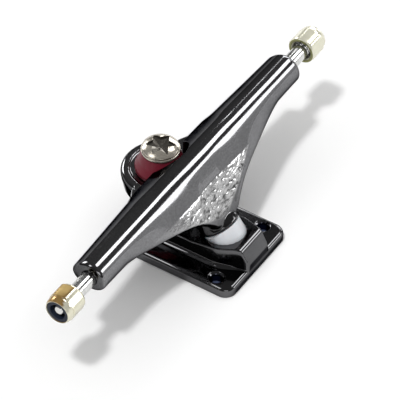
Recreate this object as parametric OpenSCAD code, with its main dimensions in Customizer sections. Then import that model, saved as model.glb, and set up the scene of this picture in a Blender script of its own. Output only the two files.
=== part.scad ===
// Skateboard truck standing on its deck face. Millimetres, +Z up.
// +X runs along the axle, -Y toward the pivot, origin at the centre of the deck holes.

/* [Baseplate] */
// width across the plate
plate_w = 53; // [50:0.5:64]
// deck hole centre to the pivot end
plate_front = 38; // [35:0.5:46]
// deck hole centre to the kingpin end
plate_back = 33.5; // [33:0.5:46]
// thickness at the rim
plate_t = 5.5; // [4:0.1:7]
// corner radius in plan
plate_corner_r = 6; // [4:0.5:10]
// rounding of the upper edge
plate_edge_r = 2.2; // [0.8:0.1:2.5]
// deck hole spacing across
hole_dx = 41.3; // [36:0.1:44]
// deck hole spacing along
hole_dy = 53.98; // [48:0.01:64]
// deck hole diameter
hole_d = 5.6; // [5:0.1:6.5]
// countersunk rim added to the hole radius
hole_rim = 1.2; // [0.4:0.1:1.6]

/* [Pivot] */
// pivot centre ahead of the deck hole centre
pivot_ahead = 20; // [18:0.1:24]
// pivot centre above the deck
pivot_h = 12.4; // [11.5:0.1:15]
// lean of the cup from upright
cup_lean = 38; // [30:0.5:42]
// lean of the boss top from level
boss_lean = 9; // [6:0.5:14]
// ball of the hanger nose
ball_d = 12; // [10:0.1:13]
// neck of the hanger nose
neck_d = 11; // [9:0.1:12]
// running gap between ball and cup
ball_gap = 0.3; // [0.2:0.05:0.6]
// outside diameter of the cup
cup_d = 19.2; // [18:0.1:21]
// cup rim above the pivot centre
cup_rise = 7; // [5:0.1:8]
// boss top above the pivot centre
boss_rise = 2.4; // [1.5:0.1:3.5]
// boss wall around the cup
boss_wall = 3; // [2:0.1:4]
// radius of the nose shoulder over the cup mouth
shoulder_r = 8.4; // [7:0.1:9]
// gap between the nose shoulder and the cup rim
shoulder_gap = 0.9; // [0.7:0.1:1.5]
// half width of the boss at its front edge
boss_front_w = 8; // [6:0.1:10]
// front edge of the boss top ahead of the deck hole centre
boss_front_y = 33.2; // [32:0.1:35]
// height of the upright front wall
boss_wall_h = 8.8; // [7:0.1:11]
// rounding of the front edge of the boss top
boss_edge_r = 2; // [1:0.1:3]
// draft of the boss sides at the foot
boss_draft = 1.8; // [1:0.1:3]

/* [Kingpin stack] */
// kingpin behind the deck hole centre
kingpin_back = 18.2; // [17:0.1:20]
// kingpin shank diameter, 3/8 inch
kingpin_d = 9.525; // [9:0.005:10]
// gap around the shank in washers, bushings and tower
kingpin_gap = 0.35; // [0.3:0.05:0.6]
// thread gap in the lock nut
thread_gap = 0.05; // [0.02:0.01:0.09]
// kingpin head diameter
head_d = 18; // [16:0.1:20]
// height of the straight rim of the head
head_rim_h = 0.9; // [0.6:0.1:2]
// height of the dome over the rim
head_dome_h = 2.4; // [1.5:0.1:3]
// star recess, tip radius
star_r = 6.7; // [5:0.1:7]
// star recess depth
star_depth = 2.6; // [1.5:0.1:3]
// height of the washer seat on the tower
tower_h = 18; // [16:0.1:20]
// washer thickness
washer_t = 1.3; // [1:0.1:2]
// upper washer diameter
upper_washer_d = 19.4; // [18:0.1:22]
// upper bushing height
upper_bush_h = 11.7; // [10:0.1:13]
// upper bushing diameter at the yoke
upper_bush_d = 25.2; // [23:0.1:27]
// lower bushing height
lower_bush_h = 13.1; // [11:0.1:15]
// lower bushing diameter
lower_bush_d = 23; // [21:0.1:24]
// lock nut across flats
lock_nut_af = 14.29; // [13:0.01:15]
// lock nut height with its insert
lock_nut_h = 10.4; // [9:0.1:12]

/* [Hanger] */
// hanger length
hanger_l = 173; // [150:1:190]
// barrel diameter at the ends
barrel_end_d = 17; // [15:0.1:19]
// barrel diameter at the middle
barrel_mid_d = 19; // [17:0.1:20.5]
// rounding of the barrel ends
end_round = 2.6; // [1:0.1:4]
// distance from the middle where the wing leaves the barrel
wing_start = 66; // [50:1:75]
// reach of the wing ahead of the axle
wing_reach = 17.7; // [15:0.1:22]
// drop of the wing below the axle
wing_drop = 21.2; // [17:0.1:23]
// edge radius of the wing at the barrel
wing_edge_r = 2.2; // [1.5:0.1:3]
// edge radius of the wing at the nose
nose_edge_r = 4.4; // [3:0.1:5]
// half width of the wing at the nose
nose_half_w = 7.5; // [7:0.1:11]
// distance from the middle where the yoke arms leave the barrel
arm_start = 38; // [30:1:44]
// back flank behind the axle where the arms leave
flank_mid = 9.6; // [8:0.1:11]
// back flank behind the axle at the ends
flank_end = 7.4; // [5:0.1:9]
// web of the yoke between the bushings
yoke_web = 5.2; // [4:0.1:6]
// yoke outside radius
yoke_r = 19.3; // [18:0.1:21]
// radial room around the upper bushing
seat_gap = 2.6; // [1:0.1:3]
// radial room between the upper bushing and the flank
wall_gap = 0.9; // [0.6:0.1:2]
// gap between the upper bushing and the barrel
core_gap = 0.4; // [0.3:0.1:1]
// yoke hole radius
yoke_hole_r = 7; // [6.5:0.1:8]

/* [Axle and nuts] */
// axle diameter, 5/16 inch
axle_d = 7.94; // [7.9:0.01:8]
// axle length
axle_l = 222; // [200:1:240]
// axle behind the deck hole centre
axle_back = 1; // [-2:0.1:2]
// axle height above the deck
axle_h = 45.8; // [44:0.1:52]
// chamfer of the axle ends
axle_chamfer = 1.2; // [0.5:0.1:1.5]
// nut across flats
nut_af = 14.3; // [12.5:0.1:15]
// nut length with its collar
nut_l = 12.9; // [11:0.1:15]
// length of the hexagon
nut_hex_l = 9.3; // [7:0.1:11]
// nut face beyond the axle end
nut_over = 1.2; // [0:0.1:2]
// lean of the nuts' upper flats from level
nut_lean = 12; // [0:1:30]
// wall of the collar at its mouth
collar_wall = 0.9; // [0.6:0.1:1.2]
// depth of the insert in the collar
insert_l = 2.6; // [2:0.1:3]

/* [Hidden] */
half_l = hanger_l / 2;
plate_l = plate_front + plate_back;
ball_r = ball_d / 2;
cup_r = cup_d / 2;
boss_r = cup_r + boss_wall;
boss_top_z = pivot_h + boss_rise / cos(boss_lean) + (boss_front_y - pivot_ahead) * tan(boss_lean);
neck_r = neck_d / 2;
mouth_r = neck_r + ball_gap + 1;
shank_r = kingpin_d / 2;
loose_r = shank_r + kingpin_gap;
lower_bush_z = tower_h + washer_t;
web_z = lower_bush_z + lower_bush_h;
upper_bush_z = web_z + yoke_web;
upper_washer_z = upper_bush_z + upper_bush_h;
head_z = upper_washer_z + washer_t;
lock_nut_z = 1;
seat_r = upper_bush_d / 2 + seat_gap;
wall_r = upper_bush_d / 2 + wall_gap;
bush_top_r = upper_washer_d / 2 - 0.4;
bush_slope = atan2(upper_bush_d / 2 - bush_top_r, upper_bush_h - 2.6);
bush_flank = upper_bush_d / 2 - (axle_h - upper_bush_z - 1.8) * tan(bush_slope);
core_r = (kingpin_back - axle_back - bush_flank) * cos(bush_slope) - core_gap;
arm_end = seat_r + 3;
nut_out = axle_l / 2 + nut_over;
nut_in = nut_out - nut_l;
thread_r = axle_d / 2 + thread_gap;
collar_r = nut_af / 2 - 0.35;
insert_r = collar_r - collar_wall;
stations = 16;
ring_n = 48;
blend = 2.2;

// Helpers

function clamp01(t) = min(1, max(0, t));
function ease(t) = t * t * (3 - 2 * t);
function mix(a, b, t) = a + (b - a) * t;

module at_pivot() {
    translate([0, -pivot_ahead, pivot_h])
        rotate([-cup_lean, 0, 0])
            children();
}

module at_kingpin(z = 0) {
    translate([0, kingpin_back, z])
        children();
}

module at_axle() {
    translate([0, axle_back, axle_h])
        rotate([0, 90, 0])
            children();
}

// A washer or ring with small chamfers
module ring(r_out, r_in, h, c) {
    rotate_extrude($fn = 96)
        polygon([
            [r_in, 0], [r_out - c, 0], [r_out, c], [r_out, h - c], [r_out - c, h], [r_in, h]
        ]);
}

// Baseplate

module edge_profile(half_w) {
    difference() {
        translate([-half_w, 0])
            square([2 * half_w, plate_t]);
        for (s = [-1, 1])
            translate([s * half_w, plate_t])
                square(2 * plate_edge_r, center = true);
    }
    for (s = [-1, 1])
        translate([s * (half_w - plate_edge_r), plate_t - plate_edge_r])
            circle(r = plate_edge_r, $fn = 48);
}

module plate_slab() {
    straight_x = plate_w - 2 * plate_corner_r;
    straight_y = plate_l - 2 * plate_corner_r;
    translate([0, (plate_back - plate_front) / 2, 0]) {
        rotate([90, 0, 0])
            linear_extrude(height = straight_y, center = true)
                edge_profile(plate_w / 2);
        rotate([90, 0, 90])
            linear_extrude(height = straight_x, center = true)
                edge_profile(plate_l / 2);
        for (sx = [-1, 1], sy = [-1, 1])
            translate([sx * straight_x / 2, sy * straight_y / 2, 0])
                rotate_extrude($fn = 64)
                    intersection() {
                        edge_profile(plate_corner_r);
                        square([plate_corner_r, plate_t]);
                    }
    }
}

// Plan outline of the raised hump, narrow at the pivot end
module hump_outline(grow, h, back = 0) {
    for (s = [-1, 1])
        translate([s * (boss_front_w + grow - 2), 2 + back - plate_front, 0])
            cylinder(r = 2, h = h, $fn = 24);
    translate([0, -pivot_ahead, 0])
        cylinder(r = boss_r + grow, h = h, $fn = 64);
    at_kingpin()
        cylinder(r = boss_r + grow, h = h, $fn = 64);
}

// Side profile of the hump, with the leaning top that carries the cup
module hump_profile() {
    saddle_y = -8;
    saddle_z = boss_top_z - (saddle_y + boss_front_y) * tan(boss_lean);
    foot = [-plate_front + 0.2, boss_wall_h];
    crest = [-boss_front_y, boss_top_z];
    wall = (foot - crest) / norm(foot - crest);
    slope = [cos(boss_lean), -sin(boss_lean)];
    polygon(concat(
        [[-plate_front + 0.2, plate_t - 2], foot],
        [for (i = [0:5])
            let (t = i / 5)
            crest + boss_edge_r * (wall * pow(1 - t, 2) + slope * pow(t, 2))],
        [[saddle_y, saddle_z], [kingpin_back, saddle_z], [plate_back - 1, plate_t - 2]]
    ));
}

module hump() {
    intersection() {
        hull() {
            translate([0, 0, plate_t - 2])
                hump_outline(boss_draft, 0.5);
            translate([0, 0, boss_top_z])
                hump_outline(0, 0.5);
        }
        rotate([90, 0, 90])
            linear_extrude(height = plate_w, center = true)
                hump_profile();
    }
}

// Cove between hump and plate, in two slopes, fading out before the pivot end
module hump_foot() {
    hull() {
        translate([0, 0, plate_t - 0.4])
            hump_outline(boss_draft + 1.5, 0.4, 4);
        translate([0, 0, plate_t + 0.5])
            hump_outline(boss_draft + 0.4, 0.1, 3);
    }
    hull() {
        translate([0, 0, plate_t])
            hump_outline(boss_draft + 0.6, 0.4, 3);
        translate([0, 0, plate_t + 1.9])
            hump_outline(boss_draft - 0.8, 0.1, 1);
    }
}

module tower() {
    at_kingpin() {
        cylinder(r1 = boss_r + 2, r2 = lower_bush_d / 2 + 1, h = tower_h, $fn = 96);
    }
}

module deck_hole() {
    translate([0, 0, -1])
        cylinder(d = hole_d, h = plate_t + 2, $fn = 64);
    translate([0, 0, plate_t - hole_rim])
        cylinder(d1 = hole_d, d2 = hole_d + 4 * hole_rim, h = 2 * hole_rim, $fn = 64);
}

module baseplate() {
    color([0.03, 0.03, 0.035])
        difference() {
            union() {
                plate_slab();
                hump();
                hump_foot();
                tower();
            }
            for (sx = [-1, 1], sy = [-1, 1])
                translate([sx * hole_dx / 2, sy * hole_dy / 2, 0])
                    deck_hole();
            at_pivot()
                cup_solid(30, 0.1);
            at_kingpin(-1)
                cylinder(r = loose_r, h = tower_h + 2, $fn = 96);
            at_kingpin(-1)
                cylinder(d = lock_nut_af / cos(30), h = lock_nut_z + lock_nut_h + 1, $fn = 6);
        }
}

// Pivot cup, a liner with a round floor and a flared mouth

module cup_solid(h, lip) {
    rotate_extrude($fn = 96)
        difference() {
            union() {
                intersection() {
                    circle(r = cup_r, $fn = 96);
                    translate([0, -cup_r])
                        square([cup_r, cup_r]);
                }
                square([cup_r, h]);
            }
            translate([cup_r, h])
                rotate(45)
                    square(lip * sqrt(2), center = true);
        }
}

module pivot_cup() {
    lip = 0.5;
    color([0.93, 0.95, 0.97])
        at_pivot()
            difference() {
                cup_solid(cup_rise, lip);
                sphere(r = ball_r + ball_gap, $fn = 96);
                cylinder(r1 = ball_r + ball_gap, r2 = mouth_r, h = cup_rise + 0.01, $fn = 96);
                translate([0, 0, cup_rise - lip])
                    cylinder(r1 = mouth_r - 0.1, r2 = mouth_r + 1, h = lip + 0.1, $fn = 96);
            }
}

// Hanger, one loft of three blended rounds: barrel, wing edge and yoke arm

function inset(x) =
    let (d = abs(x) - (half_l - end_round))
    d <= 0 ? 0 : end_round - sqrt(max(0, end_round * end_round - d * d));
function barrel_r(x) = mix(barrel_mid_d, barrel_end_d, ease(clamp01(abs(x) / half_l))) / 2;
function wing_u(x) = clamp01((wing_start - abs(x)) / (wing_start - nose_half_w));
function tip_r(x) = mix(wing_edge_r, nose_edge_r, pow(wing_u(x), 5));
function wing_tip(x) =
    let (u = wing_u(x), root = barrel_r(x) - wing_edge_r)
    [
        -mix(0.9 * root, wing_reach, u),
        -mix(0.43 * root, wing_drop / 2, u) - wing_drop / 2 * pow(u, 7)
    ];
function arm_u(x) = ease(clamp01((arm_start - abs(x)) / (arm_start - arm_end)));
function flank_y(x) =
    mix(flank_end, flank_mid, clamp01((half_l - abs(x)) / (half_l - arm_start))) * (1 - inset(x) / barrel_r(x));
function arm_tip(x) = [mix(flank_y(x), kingpin_back - axle_back, arm_u(x)), mix(-0.8, -7.4, arm_u(x))];
function rounds(x) = [
    [0, 0, barrel_r(x) - inset(x)],
    concat(wing_tip(x), [tip_r(x) * (1 - inset(x) / barrel_r(x))]),
    concat(arm_tip(x), [3.4 - inset(x)])
];
function support(c, a) = c[0] * cos(a) + c[1] * sin(a) + c[2];
function blended(cs, a) =
    let (top = max([for (c = cs) support(c, a)]))
    let (w = [for (c = cs) exp((support(c, a) - top) / blend)])
    let (sum = w[0] + w[1] + w[2])
    [for (k = [0, 1])
        (w[0] * cs[0][k] + w[1] * cs[1][k] + w[2] * cs[2][k]) / sum
        + (w[0] * cs[0][2] + w[1] * cs[1][2] + w[2] * cs[2][2]) / sum * (k == 0 ? cos(a) : sin(a))];
body_x = [for (i = [0:stations]) (half_l - end_round) * pow(i / stations, 1.25)];
tail_x = [for (i = [1:4]) half_l - end_round + end_round * sin(90 * i / 4)];
right_x = concat(body_x, tail_x);
loft_x = concat([for (i = [len(right_x) - 1:-1:1]) -right_x[i]], right_x);

module hanger_loft() {
    m = len(loft_x);
    pts = [
        for (x = loft_x)
            let (cs = rounds(x))
            for (j = [0:ring_n - 1])
                let (p = blended(cs, 360 * j / ring_n))
                [x, axle_back + p[0], axle_h + p[1]]
    ];
    sides = [
        for (i = [0:m - 2], j = [0:ring_n - 1])
            let (a = i * ring_n + j, b = i * ring_n + (j + 1) % ring_n)
            each [[a, b + ring_n, b], [a, a + ring_n, b + ring_n]]
    ];
    first = [for (j = [0:ring_n - 1]) j];
    last = [for (j = [ring_n - 1:-1:0]) (m - 1) * ring_n + j];
    polyhedron(points = pts, faces = concat(sides, [first, last]), convexity = 6);
}

module yoke() {
    at_kingpin()
        rotate_extrude($fn = 120)
            polygon([
                [0, web_z - 7], [yoke_r - 3.4, web_z - 7], [yoke_r - 1.6, web_z - 5.6],
                [yoke_r, upper_bush_z - 2.6], [yoke_r, upper_bush_z - 0.4],
                [yoke_r - 1, upper_bush_z + 0.8], [0, upper_bush_z + 0.8]
            ]);
}

module nose() {
    at_pivot() {
        sphere(r = ball_r, $fn = 96);
        rotate_extrude($fn = 96)
            polygon([
                [0, 0], [neck_r, 0], [neck_r, cup_rise], [shoulder_r - 1.6, cup_rise + shoulder_gap],
                [shoulder_r - 0.4, cup_rise + shoulder_gap + 0.5], [shoulder_r, cup_rise + shoulder_gap + 1.3],
                [shoulder_r - 0.8, cup_rise + shoulder_gap + 3], [neck_r, cup_rise + 7], [0, cup_rise + 7]
            ]);
    }
}

// Room for the cup under the wing as the hanger steers
module cup_room() {
    top = cup_rise + shoulder_gap;
    at_pivot()
        rotate_extrude($fn = 96)
            polygon([
                [0, -cup_r], [cup_r + 5, -cup_r], [cup_r + 5, top + 1.4], [neck_r, top], [0, top]
            ]);
}

// Room above the flat ledge of the yoke arms, behind the flank
module arm_ledge() {
    translate([-arm_start - 4, axle_back + flank_mid + 3.5, upper_bush_z + 0.8])
        cube([2 * arm_start + 8, 40, 30]);
}

module bushing_seats() {
    arm_ledge();
    at_kingpin(upper_bush_z)
        difference() {
            union() {
                cylinder(r = seat_r, h = 1.2, $fn = 120);
                cylinder(r = wall_r, h = 30, $fn = 120);
            }
            translate([0, axle_back - kingpin_back, axle_h - upper_bush_z])
                rotate([0, 90, 0])
                    cylinder(r = core_r, h = 2 * yoke_r, center = true, $fn = 96);
        }
    at_kingpin(web_z - 20)
        cylinder(d = lower_bush_d + 1.6, h = 20, $fn = 120);
    at_kingpin(web_z - 5)
        cylinder(r = yoke_hole_r, h = 20, $fn = 96);
}

module hanger() {
    color([0.05, 0.05, 0.055])
        difference() {
            union() {
                difference() {
                    hanger_loft();
                    cup_room();
                }
                yoke();
                nose();
            }
            bushing_seats();
            at_axle()
                cylinder(d = axle_d, h = hanger_l + 2, center = true, $fn = 96);
        }
}

// Axle

module axle() {
    c = axle_chamfer;
    color([0.78, 0.78, 0.76])
        at_axle()
            rotate_extrude($fn = 96)
                polygon([
                    [0, -axle_l / 2], [axle_d / 2 - c, -axle_l / 2], [axle_d / 2, c - axle_l / 2],
                    [axle_d / 2, axle_l / 2 - c], [axle_d / 2 - c, axle_l / 2], [0, axle_l / 2]
                ]);
}

// Kingpin, held by its head, with a star drive

module star() {
    polygon([
        for (i = [0:11])
            let (r = i % 2 == 0 ? star_r : star_r / sqrt(3))
            [r * cos(30 * i), r * sin(30 * i)]
    ]);
}

module kingpin() {
    dome_r = (head_d * head_d / 4 + head_dome_h * head_dome_h) / (2 * head_dome_h);
    color([0.75, 0.73, 0.66])
        at_kingpin() {
            translate([0, 0, lock_nut_z + 1.5])
                ring(shank_r, 0, head_z - lock_nut_z - 1, 1);
            difference() {
                translate([0, 0, head_z])
                    intersection() {
                        ring(head_d / 2, 0, head_rim_h + head_dome_h, 0.3);
                        translate([0, 0, head_rim_h + head_dome_h - dome_r])
                            sphere(r = dome_r, $fn = 120);
                    }
                translate([0, 0, head_z + head_rim_h + head_dome_h - star_depth])
                    linear_extrude(height = star_depth + 1)
                        star();
            }
        }
}

// Kingpin lock nut in its pocket under the plate

module kingpin_nut() {
    hex_h = lock_nut_h - 3;
    color([0.6, 0.6, 0.6])
        at_kingpin(lock_nut_z)
            difference() {
                union() {
                    translate([0, 0, 3])
                        cylinder(d = (lock_nut_af - 0.3) / cos(30), h = hex_h, $fn = 6);
                    ring(lock_nut_af / 2 - 0.6, 0, 4, 0.6);
                }
                translate([0, 0, -1])
                    cylinder(r = shank_r + thread_gap, h = lock_nut_h + 2, $fn = 96);
                translate([0, 0, -1])
                    cylinder(r = lock_nut_af / 2 - 1.6, h = 3.6, $fn = 96);
            }
}

module kingpin_nut_insert() {
    color([0.1, 0.13, 0.3])
        at_kingpin(lock_nut_z + 0.3)
            ring(lock_nut_af / 2 - 1.6, shank_r + thread_gap, 2.3, 0.2);
}

// Washers and bushings

module upper_washer() {
    color([0.72, 0.7, 0.64])
        at_kingpin(upper_washer_z)
            ring(upper_washer_d / 2, loose_r, washer_t, 0.4);
}

module lower_washer() {
    color([0.72, 0.7, 0.64])
        at_kingpin(tower_h)
            ring(lower_bush_d / 2 + 0.4, loose_r, washer_t, 0.4);
}

module upper_bushing() {
    color([0.42, 0.13, 0.17])
        at_kingpin(upper_bush_z)
            rotate_extrude($fn = 120)
                polygon([
                    [loose_r, 0], [upper_bush_d / 2 - 0.8, 0], [upper_bush_d / 2, 0.8],
                    [upper_bush_d / 2, 1.8], [bush_top_r, upper_bush_h - 0.8],
                    [bush_top_r - 0.8, upper_bush_h], [loose_r, upper_bush_h]
                ]);
}

module lower_bushing() {
    color([0.42, 0.13, 0.17])
        at_kingpin(lower_bush_z)
            ring(lower_bush_d / 2, loose_r, lower_bush_h, 0.9);
}

// Axle lock nuts

module nut_body(side) {
    at_axle()
        mirror([0, 0, side < 0 ? 1 : 0])
            translate([0, 0, nut_in])
                difference() {
                    union() {
                        intersection() {
                            rotate(30 + side * nut_lean)
                                cylinder(d = nut_af / cos(30), h = nut_hex_l, $fn = 6);
                            ring(nut_af / cos(30) / 2 + 0.1, 0, nut_hex_l, 0.9);
                        }
                        rotate_extrude($fn = 96)
                            polygon([
                                [0, 1], [collar_r + 0.3, 1], [collar_r + 0.3, nut_hex_l + 0.8],
                                [collar_r, nut_l - 1.2], [collar_r - 0.5, nut_l], [0, nut_l]
                            ]);
                    }
                    translate([0, 0, -1])
                        cylinder(r = thread_r, h = nut_l + 2, $fn = 96);
                    translate([0, 0, -0.01])
                        cylinder(r1 = thread_r + 1, r2 = thread_r, h = 1, $fn = 96);
                    translate([0, 0, nut_l - insert_l - 0.4])
                        cylinder(r = insert_r, h = insert_l + 2, $fn = 96);
                }
}

module nut_insert(side) {
    at_axle()
        mirror([0, 0, side < 0 ? 1 : 0])
            translate([0, 0, nut_out - insert_l - 0.3])
                ring(insert_r - thread_gap, thread_r, insert_l, 0.3);
}

module left_axle_nut() {
    color([0.85, 0.68, 0.3])
        nut_body(-1);
}

module left_nut_insert() {
    color([0.1, 0.12, 0.2])
        nut_insert(-1);
}

module right_axle_nut() {
    color([0.85, 0.68, 0.3])
        nut_body(1);
}

module right_nut_insert() {
    color([0.1, 0.12, 0.2])
        nut_insert(1);
}

baseplate();
pivot_cup();
hanger();
axle();
kingpin();
kingpin_nut();
kingpin_nut_insert();
upper_washer();
upper_bushing();
lower_bushing();
lower_washer();
left_axle_nut();
left_nut_insert();
right_axle_nut();
right_nut_insert();
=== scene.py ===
"""Looks, light and camera for a skateboard truck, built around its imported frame."""

import logging
import math
from dataclasses import dataclass
from enum import Enum
from functools import cache
from typing import Optional, Sequence, Union

import bmesh
import bpy
import numpy as np
from bpy.types import Material, Mesh, Node, NodeOutputs, NodeSocket, NodeTree, Object
from mathutils import Matrix, Vector, noise
from mathutils.bvhtree import BVHTree


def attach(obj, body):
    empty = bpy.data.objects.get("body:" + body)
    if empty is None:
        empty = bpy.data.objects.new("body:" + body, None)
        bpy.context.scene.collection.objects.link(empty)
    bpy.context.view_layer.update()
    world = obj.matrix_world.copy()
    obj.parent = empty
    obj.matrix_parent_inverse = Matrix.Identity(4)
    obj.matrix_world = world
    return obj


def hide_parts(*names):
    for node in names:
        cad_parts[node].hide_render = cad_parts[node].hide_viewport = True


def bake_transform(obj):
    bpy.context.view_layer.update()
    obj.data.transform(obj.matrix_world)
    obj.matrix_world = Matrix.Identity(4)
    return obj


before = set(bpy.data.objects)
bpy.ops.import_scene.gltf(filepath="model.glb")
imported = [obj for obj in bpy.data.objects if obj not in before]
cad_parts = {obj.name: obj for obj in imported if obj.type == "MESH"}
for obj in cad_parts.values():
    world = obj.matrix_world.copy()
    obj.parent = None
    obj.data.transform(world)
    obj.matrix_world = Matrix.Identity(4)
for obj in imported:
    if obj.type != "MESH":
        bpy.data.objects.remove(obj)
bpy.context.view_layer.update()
log = logging.getLogger("truck")

Colour = tuple[float, float, float]
Point = tuple[float, float, float]
Corner = tuple[float, float, float]
Pairs = Sequence[tuple[float, float]]
Values = Union[float, np.ndarray]
Input = Union[NodeSocket, float, tuple[float, ...]]

# Sizes that several sub-assemblies share, in mm and degrees
MM = 0.001
TINY = 1e-6
AXLE_BACK = 1.0
AXLE_HEIGHT = 45.8
KINGPIN_BACK = 18.2
PIVOT: Point = (0.0, -20.0, 12.4)
PIVOT_LEAN = -38.0
THREAD_PITCH = 1.058
THREAD_DEPTH = 0.5
THREAD_RUN_IN = 1.2
THREAD_SHARPNESS = 1.25

# Shares of a profile's side that a fillet and the flat beside it may take
FILLET_SHARE = 0.44
FLAT_SHARE = 0.12


class Side(Enum):
    """End of the axle, with the sign of its X."""

    LEFT = -1
    RIGHT = 1


class Axis(Enum):
    """Axis that turning marks are stacked along."""

    X = "X"
    Z = "Z"


class Slot(Enum):
    """Material slots of the record."""

    PLATE = "baseplate_coat"
    HANGER = "hanger_coat"
    CUP = "cup_urethane"
    BUSHING = "bushing_urethane"
    AXLE = "axle_steel"
    KINGPIN = "kingpin_nickel"
    STEEL = "plain_steel"
    GOLD = "gold_zinc"
    NYLON = "nylon"


# Mesh tools


def clamp01(t: Values) -> Values:
    """Limit values to the range from 0 to 1."""
    return np.clip(t, 0.0, 1.0)


def soft_step(t: Values) -> Values:
    """Smooth step, flat below 0 and above 1."""
    t = clamp01(t)
    return t * t * (3.0 - 2.0 * t)


def mix(a: Values, b: Values, t: Values) -> Values:
    """Straight blend from a to b."""
    return a + (b - a) * t


def filleted(path: Sequence[Corner], closed: bool = False, steps: int = 5) -> Pairs:
    """Round the corners of a turned profile and hold the flats beside them.

    Args:
        path: corners as (radius, height, fillet) in mm.
        closed: whether the last corner joins the first.
        steps: segments in each fillet.

    Returns:
        The rounded profile as (radius, height) pairs.
    """
    pts = [np.array(p[:2], float) for p in path]
    out: list[np.ndarray] = []
    n = len(path)
    for i, (_, _, fillet) in enumerate(path):
        corner = pts[i]
        if fillet <= 0 or (not closed and i in (0, n - 1)):
            out.append(corner)
            continue
        a, b = pts[i - 1] - corner, pts[(i + 1) % n] - corner
        la, lb = np.linalg.norm(a), np.linalg.norm(b)
        a, b = a / la, b / lb
        bend = math.acos(float(np.clip(a @ b, -1.0, 1.0)))
        cut = min(fillet / math.tan(bend / 2), FILLET_SHARE * la, FILLET_SHARE * lb)
        hold = cut + FLAT_SHARE * cut
        out.append(corner + a * hold)
        for t in (k / steps for k in range(steps + 1)):
            out.append(corner + a * cut * (1 - t) ** 2 + b * cut * t ** 2)
        out.append(corner + b * hold)
    return [(float(p[0]), float(p[1])) for p in out]


def round_angles(count: int) -> np.ndarray:
    """Even angles around a full turn."""
    return np.linspace(0.0, 2.0 * math.pi, count, endpoint=False)


def hex_angles(per_flat: int, bunch: float = 1.7) -> np.ndarray:
    """Angles around a hexagon, closer together at its corners.

    Args:
        per_flat: how many there are on each flat.
        bunch: how strongly they gather at the corners.

    Returns:
        The angles, from the middle of a flat at 0.
    """
    t = np.linspace(-1.0, 1.0, per_flat, endpoint=False)
    bunched = np.sign(t) * (1.0 - (1.0 - np.abs(t)) ** bunch)
    return np.concatenate([k * math.pi / 3 + bunched * math.pi / 6 for k in range(6)])


def hex_radius(angles: np.ndarray, across: float, soft: float = 0.12) -> np.ndarray:
    """Radius of a hexagon with slightly rounded corners.

    Args:
        angles: angles around the axis, with flats at multiples of 60 degrees.
        across: size across flats.
        soft: rounding of the corners, as a length.

    Returns:
        The radius at each angle.
    """
    flats = np.arange(6) * math.pi / 3
    reach = np.cos(angles[:, None] - flats[None, :]) / (across / 2)
    sharp = 1.0 / (soft * 2 / across)
    return 1.0 / (np.log(np.exp(reach * sharp).sum(axis=1)) / sharp)


def ring(r: Values, z: Values, angles: np.ndarray) -> np.ndarray:
    """One loop of points around the local Z axis, in mm."""
    level = z * np.ones_like(angles)
    return np.stack([r * np.cos(angles), r * np.sin(angles), level], axis=1)


def pole(z: float) -> np.ndarray:
    """A single point on the local Z axis, in mm."""
    return np.array([[0.0, 0.0, z]])


def hexed(profile: Pairs, angles: np.ndarray, flat: np.ndarray,
          below: float = math.inf) -> list[np.ndarray]:
    """Loops of a turned profile that is cut by the flats of a hexagon.

    Args:
        profile: (radius, height) pairs in mm.
        angles: angles around the axis.
        flat: radius of the hexagon at each angle.
        below: height under which the flats cut.

    Returns:
        The loops.
    """
    return [ring(np.minimum(r, flat) if z < below else r, z, angles) for r, z in profile]


def threaded(radius: float, heights: np.ndarray, start: float,
             angles: np.ndarray) -> list[np.ndarray]:
    """Loops of a rolled thread that runs in from a plain shank.

    Args:
        radius: radius of its crests in mm.
        heights: place of each loop along the axis.
        start: where it begins to deepen.
        angles: angles around the axis.

    Returns:
        The loops.
    """
    loops = []
    for z in heights:
        phase = (z / THREAD_PITCH - angles / (2 * math.pi)) % 1.0
        groove = clamp01(THREAD_SHARPNESS * (1.0 - np.abs(2.0 * phase - 1.0)))
        fade = min(1.0, abs(z - start) / THREAD_RUN_IN)
        loops.append(ring(radius - THREAD_DEPTH * groove * fade, z, angles))
    return loops


def add_object(name: str, data: bpy.types.ID) -> Object:
    """Put a new object in the scene.

    Args:
        name: name of the object.
        data: its mesh, lamp or camera.

    Returns:
        The object.
    """
    obj = bpy.data.objects.new(name, data)
    bpy.context.scene.collection.objects.link(obj)
    return obj


def skinned(name: str, rings: Sequence[np.ndarray], place: Matrix, closed: bool = False,
            crisp: Optional[float] = None) -> Object:
    """Join loops of points into one smooth mesh.

    Args:
        name: name of the new object.
        rings: loops of equal length, or single points, in mm.
        place: matrix from the local axis to the frame, in metres.
        closed: whether the last loop joins the first.
        crisp: bend, in degrees, from which an edge stays crisp.

    Returns:
        The new object, linked to the scene.
    """
    starts = np.cumsum([0] + [len(r) for r in rings])
    verts = [tuple(place @ Vector(p * MM)) for r in rings for p in r]
    faces: list[tuple[int, ...]] = []
    for i in list(range(len(rings) - 1)) + ([-1] if closed else []):
        a, b = rings[i], rings[i + 1]
        sa, sb = int(starts[i % len(rings)]), int(starts[(i + 1) % len(rings)])
        count = max(len(a), len(b))
        for j in range(count):
            k = (j + 1) % count
            if len(a) == 1:
                faces.append((sa, sb + k, sb + j))
            elif len(b) == 1:
                faces.append((sa + j, sa + k, sb))
            else:
                faces.append((sa + j, sa + k, sb + k, sb + j))
    mesh = bpy.data.meshes.new(name)
    mesh.from_pydata(verts, [], faces)
    bm = bmesh.new()
    bm.from_mesh(mesh)
    bmesh.ops.recalc_face_normals(bm, faces=bm.faces)
    bm.to_mesh(mesh)
    bm.free()
    mesh.shade_smooth()
    if crisp is not None:
        mesh.set_sharp_from_angle(angle=math.radians(crisp))
    return add_object(name, mesh)


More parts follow.
